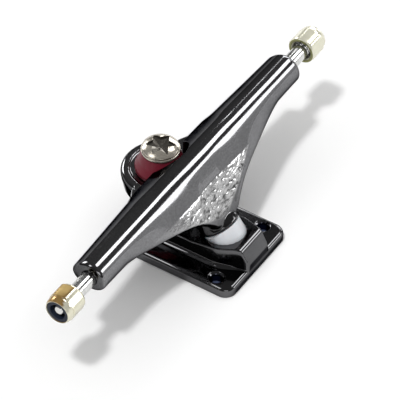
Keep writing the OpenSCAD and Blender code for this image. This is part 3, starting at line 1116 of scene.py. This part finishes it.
@dataclass
class Hanger:
    """Cast hanger: barrel, wing, yoke and nose, with a rough-cast panel on the wing."""

    half_l: float = 86.5
    barrel_mid_r: float = 9.5
    barrel_end_r: float = 8.5
    end_round: float = 2.6
    wing_start: float = 66.0
    wing_reach: float = 17.7
    wing_drop: float = 21.2
    wing_edge_r: float = 2.2
    root_reach: float = 0.9
    root_drop: float = 0.43
    nose_edge_r: float = 4.4
    nose_half_w: float = 7.5
    arm_start: float = 38.0
    arm_end: float = 18.2
    arm_reach: float = 17.2
    arm_r: float = 3.4
    arm_drop: tuple[float, float] = (-0.8, -7.4)
    flank_mid: float = 9.6
    flank_end: float = 7.4
    blend: float = 2.2
    stations: int = 241
    spokes: int = 240
    voxel: float = 0.4
    rounds: int = 8
    snap: float = 0.4
    yoke_r: float = 19.3
    yoke_top: float = 38.4
    yoke_edge: float = 2.4
    yoke_near: float = 0.3
    yoke_start: float = 1.0
    yoke_soft: float = 4.0
    cover_r: float = 11.6
    cover_t: float = 1.3
    cover_angle: float = 56.0
    cover_fade: float = 2.4
    shoulder_out: Pairs = ((2.1, 48.0), (3.4, 38.0), (4.6, 26.0), (5.4, 13.0), (5.6, 0.0))
    panel_right: Pairs = ((27.0, 0.0), (28.7, 4.4), (31.0, 8.8), (33.9, 13.0), (37.0, 18.6),
                          (39.5, 24.0), (43.0, 32.0), (44.0, 34.0))
    panel_left: Pairs = ((27.0, 3.0), (28.0, 6.5), (31.2, 12.5), (33.9, 18.5), (36.3, 25.0),
                         (38.1, 31.5), (39.3, 38.0), (42.2, 48.0))
    panel_soft: float = 2.2
    panel_top: float = 44.2
    panel_top_sag: float = 0.0004
    panel_top_soft: float = 1.2
    panel_foot: float = 27.0
    panel_foot_soft: float = 3.0
    panel_front: float = -6.0
    panel_facing: float = 0.35
    panel_facing_soft: float = 0.2
    panel_fade: float = 0.85
    panel_fade_from: float = 16.0
    panel_fade_l: float = 26.0
    ripple: Ripple = Ripple()

    def loft(self) -> tuple[np.ndarray, list[tuple[int, int, int, int]]]:
        """Fine version of the blended barrel, wing and yoke arms.

        Returns:
            Points in mm, and the faces between them.
        """
        n, m = self.stations, self.spokes
        body = np.linspace(-1.0, 1.0, n) * self.half_l
        angles = round_angles(m)
        ax = np.abs(body)
        past = np.clip(ax - (self.half_l - self.end_round), 0.0, self.end_round)
        inset = self.end_round - np.sqrt(self.end_round ** 2 - past ** 2)
        barrel = mix(self.barrel_mid_r, self.barrel_end_r, soft_step(ax / self.half_l))
        shrink = 1.0 - inset / barrel
        u = clamp01((self.wing_start - ax) / (self.wing_start - self.nose_half_w))
        root = barrel - self.wing_edge_r
        half_drop = self.wing_drop / 2
        tip_y = -mix(self.root_reach * root, self.wing_reach, u)
        tip_z = -mix(self.root_drop * root, half_drop, u) - half_drop * u ** 7
        tip_r = mix(self.wing_edge_r, self.nose_edge_r, u ** 5) * shrink
        v = soft_step((self.arm_start - ax) / (self.arm_start - self.arm_end))
        inward = clamp01((self.half_l - ax) / (self.half_l - self.arm_start))
        flank = mix(self.flank_end, self.flank_mid, inward)
        arm_y, arm_z = mix(flank * shrink, self.arm_reach, v), mix(*self.arm_drop, v)
        cy = np.stack([np.zeros(n), tip_y, arm_y])[:, :, None]
        cz = np.stack([np.zeros(n), tip_z, arm_z])[:, :, None]
        cr = np.stack([barrel - inset, tip_r, self.arm_r - inset])[:, :, None]
        cos, sin = np.cos(angles)[None, None, :], np.sin(angles)[None, None, :]
        support = cy * cos + cz * sin + cr
        weight = np.exp((support - support.max(axis=0)) / self.blend)
        weight /= weight.sum(axis=0)
        y = (weight * (cy + cr * cos)).sum(axis=0)
        z = (weight * (cz + cr * sin)).sum(axis=0)
        x = np.repeat(body[:, None], m, axis=1)
        points = np.stack([x, y + AXLE_BACK, z + AXLE_HEIGHT], axis=2).reshape(-1, 3)
        faces = [(i * m + j, i * m + (j + 1) % m, (i + 1) * m + (j + 1) % m, (i + 1) * m + j)
                 for i in range(n - 1) for j in range(m)]
        return points, faces

    def panel(self, co: np.ndarray, normal_y: np.ndarray) -> np.ndarray:
        """Mask of the rough-cast panel on the front of the wing.

        Args:
            co: points in mm.
            normal_y: Y part of each point's normal.

        Returns:
            The mask, from 0 to 1.
        """
        x, y, z = co.T
        right = np.interp(z, *zip(*self.panel_right))
        left = np.interp(z, *zip(*self.panel_left))
        side = soft_step((right - x) / self.panel_soft) * soft_step((left + x) / self.panel_soft)
        faded = soft_step((-x - self.panel_fade_from) / self.panel_fade_l)
        sag = self.panel_top_sag * x * x
        top = soft_step((self.panel_top - sag - z) / self.panel_top_soft)
        foot = soft_step((z - self.panel_foot) / self.panel_foot_soft)
        front = soft_step((-normal_y - self.panel_facing) / self.panel_facing_soft)
        return side * top * foot * front * (y < self.panel_front) * (1.0 - self.panel_fade * faded)

    def round_yoke(self, co: np.ndarray) -> None:
        """Round the outer top edge of the yoke ring, behind its arms.

        Args:
            co: points in mm, changed in place.
        """
        off_y = co[:, 1] - KINGPIN_BACK
        r = np.maximum(np.hypot(co[:, 0], off_y), TINY)
        dr = np.maximum(r - (self.yoke_r - self.yoke_edge), 0.0)
        dz = np.maximum(co[:, 2] - (self.yoke_top - self.yoke_edge), 0.0)
        far = np.maximum(np.hypot(dr, dz), TINY)
        near = (r < self.yoke_r + self.yoke_near) & (co[:, 2] < self.yoke_top + self.yoke_near)
        excess = np.where(near & (dr > 0) & (dz > 0), np.maximum(far - self.yoke_edge, 0.0), 0.0)
        pull = excess * soft_step((off_y - self.yoke_start) / self.yoke_soft)
        co[:, 0] -= pull * dr / far * co[:, 0] / r
        co[:, 1] -= pull * dr / far * off_y / r
        co[:, 2] -= pull * dz / far

    def shoulder(self) -> Object:
        """Make the round shoulder of the nose, which just clears the cup at any steer.

        Returns:
            The shoulder, a closed form of its own.
        """
        inside = [(self.cover_r, a) for a in np.linspace(0.0, self.cover_angle, 15)]
        rows = ((self.cover_t, self.cover_angle), *self.shoulder_out)
        outside = [(self.cover_r + out, a) for out, a in rows]
        profile = [(r * math.sin(math.radians(a)), r * math.cos(math.radians(a)))
                   for r, a in inside + outside]
        return turned("nose_shoulder", profile, at(PIVOT, lean_x=PIVOT_LEAN))

    def true_up(self, co: np.ndarray) -> None:
        """Draw points to the fine loft, but not beside the pivot.

        Args:
            co: points in mm, changed in place.
        """
        tree = BVHTree.FromPolygons(*self.loft())
        pivot_gap = np.linalg.norm(co - np.array(PIVOT), axis=1)
        trust = soft_step((pivot_gap - self.cover_r - self.cover_fade) / self.cover_fade)
        for i in np.nonzero(trust > 0.0)[0]:
            hit, _, _, gap = tree.find_nearest(Vector(co[i]), self.snap)
            if hit is not None:
                pull = soft_step((self.snap - gap) / (0.5 * self.snap))
                co[i] += (np.array(hit) - co[i]) * pull * trust[i]

    def build(self) -> Object:
        """Make the casting, true to the fine loft, with its panel raised and rippled.

        Returns:
            The casting.
        """
        obj = cast_copy("hanger", "hanger_casting", self.voxel, self.rounds, self.shoulder())
        mesh = obj.data
        co = points_of(mesh)
        self.true_up(co)
        self.round_yoke(co)
        move_points(mesh, co)
        normal = vectors_of(mesh.vertex_normals, "vector")
        mask = self.panel(co, normal[:, 1])
        lift, pit = np.zeros(len(co)), np.zeros(len(co))
        noise.seed_set(self.ripple.seed)
        for i in np.nonzero(mask > 0.01)[0]:
            lift[i], pit[i] = self.ripple.at(Vector(co[i]))
        move_points(mesh, co + normal * (lift * mask)[:, None])
        mark(mesh, "rough_cast", mask)
        # The pit mark carries painted shade into the hollows of the ripple.
        mark(mesh, "pit", pit * mask)
        return obj

    def dress(self) -> None:
        """Build the casting and give it its coat."""
        settle(self.build(), "hanger", "hanger", HANGER_COAT)


@dataclass
class Axle:
    """Steel rod through the hanger, with rolled threads at both ends."""

    radius: float = 3.97
    half_l: float = 111.0
    chamfer: float = 1.5
    tip_r: float = 1.95
    tip_round: float = 0.15
    tip_drop: float = 0.12
    thread_l: float = 12.6
    plain_z: tuple[float, ...] = (0.0, 40.0, 80.0)

    def build(self) -> Object:
        """Make the rod as loops along its length, with helical threads.

        Returns:
            The rod.
        """
        angles = round_angles(64)
        end, start = self.half_l - self.chamfer, self.half_l - self.thread_l
        tip, soft = self.tip_r, self.tip_round
        plain = [ring(self.radius, z, angles) for z in (*self.plain_z, start - 0.3)]
        heights = np.arange(start, end + TINY, THREAD_PITCH / 8)
        half = plain[1:] + threaded(self.radius, heights, start, angles) + [
            ring(tip + soft, self.half_l - self.tip_drop, angles), ring(tip, self.half_l, angles),
            ring(tip - soft, self.half_l, angles), pole(self.half_l)]
        other = [r * np.array((1.0, 1.0, -1.0)) for r in reversed(half)]
        place = at((0.0, AXLE_BACK, AXLE_HEIGHT), lean_y=90.0)
        return skinned("axle_rod", other + plain[:1] + half, place)

    def dress(self) -> None:
        """Build the rod in bright steel."""
        settle(self.build(), "axle", "hanger", AXLE_STEEL)


@dataclass
class KingpinStack:
    """Kingpin with its washers, bushings and captive lock nut."""

    shank_r: float = 4.7625
    loose_r: float = 5.1125
    head_r: float = 9.0
    head_z: float = 50.6
    crown_r: float = 8.4
    rim_h: float = 0.9
    dome_h: float = 2.4
    star_r: float = 7.6
    star_lip: tuple[float, float] = (0.2, 0.3)
    star_depth: float = 2.1
    star_dimple: float = 0.9
    star_bowl: Pairs = ((0.3, 0.6), (0.6, 0.25), (0.93, 0.0))
    star_foot: Pairs = ((-0.1, 0.05), (0.0, 0.2))
    star_wall: Pairs = ((0.0, 0.6), (0.0, 0.3), (0.06, 0.12))
    crown_steps: tuple[float, ...] = (0.15, 0.3, 0.45, 0.6, 0.75, 0.88, 1.0)
    pan: float = 3.2
    foot_z: float = 2.5
    plain_z: float = 14.0
    thread_z: float = 13.9
    tower_h: float = 18.0
    washer_t: float = 1.3
    upper_washer_r: float = 9.5
    sway_r: float = 6.1
    lower_bush_r: float = 11.5
    lower_bush_h: float = 13.1
    upper_bush_r: float = 12.6
    upper_bush_h: float = 11.7
    yoke_web: float = 5.2
    nut_z: float = 1.0
    nut_af: float = 14.29
    nut_h: float = 10.4
    thread_gap: float = 0.05

    @property
    def bore_r(self) -> float:
        """Radius inside the captive nut."""
        return self.shank_r + self.thread_gap

    def place(self, z: float) -> Matrix:
        """Place at a height on the kingpin's axis."""
        return at((0.0, KINGPIN_BACK, z))

    def star(self, angles: np.ndarray) -> np.ndarray:
        """Radius of the six-point drive recess.

        Args:
            angles: angles around the axis.

        Returns:
            The radius at each angle.
        """
        sixth = math.pi / 6
        inner = self.star_r / math.sqrt(3.0)
        tip = np.array((self.star_r, 0.0))
        dip = inner * np.array((math.cos(sixth), math.sin(sixth)))
        fold = np.abs((angles + sixth) % (2 * sixth) - sixth)
        run = dip - tip
        cross = tip[0] * dip[1] - tip[1] * dip[0]
        return cross / (np.cos(fold) * run[1] - np.sin(fold) * run[0])

    def dome(self, r: Values) -> Values:
        """Height of the head at a radius, flatter in the middle than at the rim."""
        return self.head_z + self.rim_h + self.dome_h * (1.0 - (r / self.head_r) ** self.pan)

    def kingpin(self) -> Object:
        """Make the kingpin from the middle of its recess to its threaded foot.

        Returns:
            The kingpin, with its recess marked for painted shade.
        """
        angles = round_angles(240)
        star = self.star(angles)
        edge, lip = (star + out for out in self.star_lip)
        floor = self.dome(0.0) - self.star_depth
        loops = [pole(floor - self.star_dimple)]
        loops += [ring(share * star, floor - dip, angles) for share, dip in self.star_bowl]
        loops += [ring(star + out, floor + up, angles) for out, up in self.star_foot]
        loops += [ring(star + out, self.dome(star) - dip, angles) for out, dip in self.star_wall]
        recess = sum(len(loop) for loop in loops[:-1])
        crown = [mix(lip, self.crown_r, t) for t in self.crown_steps]
        loops += [ring(r, self.dome(r), angles) for r in (edge, lip, *crown)]
        rim = filleted([
            (self.crown_r, self.dome(self.crown_r), 0.0),
            (self.head_r, self.head_z + self.rim_h, 0.5), (self.head_r, self.head_z, 0.3),
            (self.shank_r, self.head_z, 0.2), (self.shank_r, self.plain_z, 0.0)])[1:]
        loops += [ring(r, z, angles) for r, z in rim]
        heights = np.arange(self.thread_z - 0.1, self.foot_z + 1.0, -THREAD_PITCH / 6)
        loops += threaded(self.shank_r, heights, self.thread_z, angles)
        loops += [ring(self.shank_r - 1.0, self.foot_z, angles), pole(self.foot_z)]
        obj = skinned("kingpin_bolt", loops, self.place(0.0), crisp=28.0)
        mark(obj.data, "recess", np.arange(len(obj.data.vertices)) < recess)
        return obj

    def washer(self, name: str, radius: float, z: float) -> Object:
        """Make a washer with pressed, rounded edges, its lower face at a height."""
        return square_ring(name, (self.loose_r, radius), self.washer_t, (0.25, 0.45, 0.45, 0.25),
                           self.place(z))

    def upper_bushing(self, z: float) -> Object:
        """Make the cone bushing over the yoke.

        Args:
            z: height of its foot in mm.

        Returns:
            The bushing.
        """
        h, r, top_r = self.upper_bush_h, self.upper_bush_r, self.upper_washer_r - 0.4
        profile = filleted([
            (self.sway_r, 0.0, 0.3), (r, 0.0, 1.3), (r, 2.6, 2.2),
            (mix(r, top_r, 0.55) + 0.1, 6.4, 3.0), (top_r, h - 0.5, 0.8), (top_r - 0.8, h, 0.4),
            (self.loose_r, h, 0.3), (self.sway_r, 0.7 * h, 0.8)], closed=True)
        return turned("upper_bushing_cone", profile, self.place(z), closed=True, count=128)

    def lower_bushing(self, z: float) -> Object:
        """Make the barrel bushing under the yoke.

        Args:
            z: height of its foot in mm.

        Returns:
            The bushing.
        """
        h, r = self.lower_bush_h, self.lower_bush_r
        profile = filleted([
            (self.loose_r, 0.0, 0.3), (r - 0.3, 0.0, 1.3), (r, 3.0, 2.0), (r, h - 3.0, 2.0),
            (r - 0.3, h, 1.3), (self.sway_r, h, 0.3), (self.sway_r, 0.3 * h, 0.8)], closed=True)
        return turned("lower_bushing_barrel", profile, self.place(z), closed=True, count=128)

    def nut(self) -> Object:
        """Make the lock nut that sits in the plate's pocket, collar down.

        Returns:
            The nut.
        """
        angles = hex_angles(24)
        collar_r, bore_r, h = self.nut_af / 2 - 0.6, self.bore_r, self.nut_h
        lip_r, corner_r = collar_r - 1.0, 8.0
        profile = filleted([
            (lip_r, 0.0, 0.3), (collar_r, 0.6, 0.3), (collar_r, 3.0, 0.2), (corner_r, 3.0, 0.2),
            (corner_r, h, 0.2), (bore_r, h, 0.3), (bore_r, 2.6, 0.1), (lip_r, 2.6, 0.1)],
            closed=True)
        loops = hexed(profile, angles, hex_radius(angles, self.nut_af - 0.3))
        return skinned("kingpin_lock_nut", loops, self.place(self.nut_z), closed=True)

    def nut_insert(self) -> Object:
        """Make the nylon ring of that nut."""
        radii, place = (self.bore_r, self.nut_af / 2 - 1.6), self.place(self.nut_z + 0.3)
        return square_ring("kingpin_nut_nylon", radii, 2.3, (0.2, 0.2, 0.2, 0.2), place)

    def dress(self) -> None:
        """Build every piece of the stack, with the bushings baked in place."""
        low_z = self.tower_h + self.washer_t
        web_z = low_z + self.lower_bush_h
        high_z = web_z + self.yoke_web
        cap_z = high_z + self.upper_bush_h
        settle(self.kingpin(), "kingpin", "kingpin", NICKEL)
        upper = self.washer("upper_washer_ring", self.upper_washer_r, cap_z)
        settle(upper, "upper_washer", "base", NICKEL)
        lower = self.washer("lower_washer_ring", self.lower_bush_r + 0.4, self.tower_h)
        settle(lower, "lower_washer", "base", PLAIN_STEEL)
        settle(self.nut(), "kingpin_nut", "base", PLAIN_STEEL)
        settle(self.nut_insert(), "kingpin_nut_insert", "base", DARK_NYLON)
        self.soft(self.upper_bushing(high_z), "upper_bushing", ("hanger", "base"), high_z, cap_z)
        self.soft(self.lower_bushing(low_z), "lower_bushing", ("base", "hanger"), low_z, web_z)

    def soft(self, obj: Object, node: str, bodies: tuple[str, str], low: float,
             high: float) -> None:
        """Dress a bushing, with its place baked into its points.

        Args:
            obj: the bushing.
            node: the node that it replaces.
            bodies: the body at its foot and the body at its top.
            low: not used.
            high: not used.
        """
        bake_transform(obj)
        stand_in(obj, node, WINE_RED, " and ".join(bodies))


@dataclass
class AxleNut:
    """Lock nut on one axle end, with its nylon ring."""

    side: Side
    plating: ZincPlate
    inner_x: float = 99.3
    length: float = 12.9
    hex_l: float = 9.3
    across: float = 14.3
    lean: float = 12.0
    bore_r: float = 4.02
    collar_r: float = 6.8
    insert_r: float = 5.9
    insert_l: float = 2.6

    @property
    def label(self) -> str:
        """Start of the names of the pieces on this side."""
        return self.side.name.lower()

    def place(self, x: float) -> Matrix:
        """Place on the axle, facing outward."""
        sign = self.side.value
        return at((sign * x, AXLE_BACK, AXLE_HEIGHT), lean_y=90.0 * sign)

    def body(self) -> Object:
        """Make the hexagon with its chamfers and crimped collar.

        Returns:
            The nut.
        """
        angles = hex_angles(28)
        corner_r, collar = self.across / math.cos(math.pi / 6) / 2 + 0.1, self.collar_r
        seat = self.length - self.insert_l - 0.4
        profile = filleted([
            (self.bore_r + 1.6, 0.0, 0.2), (corner_r - 1.5, 0.0, 0.3), (corner_r, 1.2, 0.3),
            (corner_r, self.hex_l - 0.9, 0.3), (corner_r - 0.9, self.hex_l, 0.2),
            (collar + 0.3, self.hex_l, 0.25), (collar + 0.3, self.hex_l + 0.8, 0.3),
            (collar, self.length - 1.2, 0.7), (collar - 0.5, self.length, 0.45),
            (self.insert_r, self.length, 0.25), (self.insert_r, seat, 0.1),
            (self.bore_r, seat, 0.1), (self.bore_r, 1.5, 0.2)], closed=True)
        loops = hexed(profile, angles + math.radians(self.lean),
                      hex_radius(angles, self.across), self.hex_l + 0.3)
        return skinned(f"{self.label}_lock_nut", loops, self.place(self.inner_x), closed=True)

    def insert(self) -> Object:
        """Make the nylon ring in the collar."""
        place = self.place(self.inner_x + self.length - self.insert_l - 0.3)
        return square_ring(f"{self.label}_nut_nylon", (self.bore_r, self.insert_r - 0.05),
                           self.insert_l, (0.2, 0.2, 0.3, 0.3), place)

    def dress(self) -> None:
        """Build the nut and its ring."""
        body = f"{self.label}_nut"
        settle(self.body(), f"{self.label}_axle_nut", body, self.plating)
        settle(self.insert(), f"{self.label}_nut_insert", body, DARK_NYLON)


# Stage


@dataclass(frozen=True)
class SoftBox:
    """Rectangular lamp that faces the truck and shows only in its gloss, in metres."""

    name: str
    toward: Point
    reach: float
    size: tuple[float, float]
    glow: float

    def hang(self, aim: Point) -> None:
        """Set up the lamp.

        Args:
            aim: the point that it faces.
        """
        lamp = bpy.data.lights.new(self.name, "AREA")
        lamp.shape = "RECTANGLE"
        lamp.size, lamp.size_y = self.size
        lamp.energy = self.glow * math.pi * self.size[0] * self.size[1]
        way = Vector(self.toward).normalized()
        obj = add_object(self.name, lamp)
        obj.location = Vector(aim) + way * self.reach
        obj.rotation_euler = way.to_track_quat("Z", "Y").to_euler()
        obj.visible_camera = False
        obj.visible_diffuse = False


SOFT_BOXES = (
    SoftBox("wide_box", (0.597, -0.714, 0.362), 1.7, (0.94, 0.4), 5.2),
    SoftBox("strip_box", (0.597, -0.17, 0.782), 1.9, (0.58, 0.71), 5.6),
    SoftBox("low_box", (0.597, -0.795, 0.1), 1.7, (2.2, 0.6), 0.6),
    SoftBox("side_box", (0.862, 0.314, 0.398), 1.7, (0.8, 0.8), 5.6),
    SoftBox("rim_box", (0.968, -0.05, 0.2), 1.7, (0.6, 0.5), 5.0),
    SoftBox("back_box", (0.25, 0.9, 0.35), 1.7, (0.75, 0.5), 8.0),
    SoftBox("left_box", (-0.72, -0.6, 0.35), 1.7, (0.9, 0.5), 2.4),
    SoftBox("rear_box", (-0.47, 0.38, 0.8), 1.8, (0.6, 0.6), 4.0),
)


@dataclass
class Studio:
    """Pale floor, one sun, an even fill and the soft boxes, in metres."""

    floor_half: float = 3.0
    floor_white: float = 0.98
    floor_mottle: float = 0.01
    shade_patch_half: tuple[float, float] = (0.024, 0.031)
    shade_patch_colour: Colour = (0.06, 0.075, 0.13)
    sky: float = 0.06
    sky_gloss: float = 0.12
    sun_from: Point = (-0.35, 0.035, 0.94)
    sun_strength: float = 1.32
    sun_angle: float = 6.0
    fill_glow: float = 1.2
    fill_size: float = 4.0
    fill_height: float = 2.2
    aim: Point = (0.0, 0.0, 0.045)

    def floor(self) -> None:
        """Lay the floor, slightly mottled, with painted shade only where the baseplate covers it.
        """
        mesh = bpy.data.meshes.new("studio_floor")
        h = self.floor_half
        mesh.from_pydata([(-h, -h, 0), (h, -h, 0), (h, h, 0), (-h, h, 0)], [], [(0, 1, 2, 3)])
        obj = add_object("studio_floor", mesh)
        s = Paint("pale_paper")
        tone = s.tint(s.noise(s.where, 30.0), grey(self.floor_white - self.floor_mottle),
                      grey(self.floor_white + self.floor_mottle))
        axes = s.add("ShaderNodeSeparateXYZ", {"Vector": s.where}).outputs
        # Painted shade: a blue-black patch where the baseplate covers the floor.
        shade_patch = s.times(*(s.maths("LESS_THAN", s.maths("ABSOLUTE", axes[axis]), half)
                          for axis, half in zip("XY", self.shade_patch_half)))
        s.feed(s.shader, {"Base Color": s.blend(shade_patch, tone, self.shade_patch_colour),
                          "Roughness": 0.9, "Specular IOR Level": 0.0})
        mesh.materials.append(s.material)

    def sun(self) -> None:
        """Hang the key light that throws the soft shadow, without a glint of its own."""
        lamp = bpy.data.lights.new("key_sun", "SUN")
        lamp.energy = self.sun_strength
        lamp.angle = math.radians(self.sun_angle)
        obj = add_object("key_sun", lamp)
        obj.rotation_euler = Vector(self.sun_from).to_track_quat("Z", "Y").to_euler()
        obj.visible_glossy = False

    def fill(self) -> None:
        """Hang a wide overhead panel that only lightens, without a reflection of its own."""
        lamp = bpy.data.lights.new("overhead_fill", "AREA")
        lamp.shape = "SQUARE"
        lamp.size = self.fill_size
        lamp.energy = self.fill_glow * math.pi * self.fill_size ** 2
        obj = add_object("overhead_fill", lamp)
        obj.location = (0.0, 0.0, self.fill_height)
        obj.visible_camera = False
        obj.visible_glossy = False

    def sky_fill(self) -> None:
        """Give the world an even grey, a little paler where gloss shows it."""
        world = bpy.data.worlds.new("studio_sky")
        world.use_nodes = True
        s = Shading(world.node_tree)
        glossy = s.add("ShaderNodeLightPath").outputs["Is Glossy Ray"]
        strength = s.plus(s.times(glossy, self.sky_gloss / self.sky - 1.0), 1.0)
        s.feed(world.node_tree.nodes["Background"], {"Color": grey(self.sky),
                                                     "Strength": strength})
        bpy.context.scene.world = world

    def build(self) -> None:
        """Put the stage together."""
        self.floor()
        self.sun()
        self.fill()
        for box in SOFT_BOXES:
            box.hang(self.aim)
        self.sky_fill()
        bpy.context.scene.view_settings.view_transform = "Standard"
        log.info("studio ready")


@dataclass
class PhotoCamera:
    """Camera at the photograph's viewing angle."""

    azimuth: float = -57.196
    elevation: float = 44.739
    roll: float = 0.244
    distance: float = 1.687
    target: Point = (0.0, 0.0, 0.025)
    sensor: float = 36.0
    lens: float = 316.9
    shift: tuple[float, float] = (0.01868, 0.00196)
    clip_end: float = 50.0

    def build(self) -> None:
        """Create the camera and make it the scene's own."""
        az, el, roll = (math.radians(a) for a in (self.azimuth, self.elevation, self.roll))
        flat = math.cos(el)
        back = Vector((math.sin(az) * flat, -math.cos(az) * flat, math.sin(el)))
        right = Vector((math.cos(az), math.sin(az), 0.0))
        up = back.cross(right)
        r = right * math.cos(roll) + up * math.sin(roll)
        u = up * math.cos(roll) - right * math.sin(roll)
        data = bpy.data.cameras.new("photo_camera")
        data.sensor_width = self.sensor
        data.lens = self.lens
        data.shift_x, data.shift_y = self.shift
        data.clip_end = self.clip_end
        obj = add_object("photo_camera", data)
        turn = Matrix((r, u, back)).transposed().to_4x4()
        obj.matrix_world = Matrix.Translation(Vector(self.target) + back * self.distance) @ turn
        bpy.context.scene.camera = obj


def main() -> None:
    """Build the truck, its stage and its camera."""
    logging.basicConfig(level=logging.INFO, format="%(name)s: %(message)s")
    PhotoCamera().build()
    Studio().build()
    for assembly in (Baseplate(), PivotCup(), Hanger(), Axle(), KingpinStack(),
                     AxleNut(Side.LEFT, GOLD_ZINC), AxleNut(Side.RIGHT, PALE_ZINC)):
        assembly.dress()


if __name__ == "__main__":
    main()
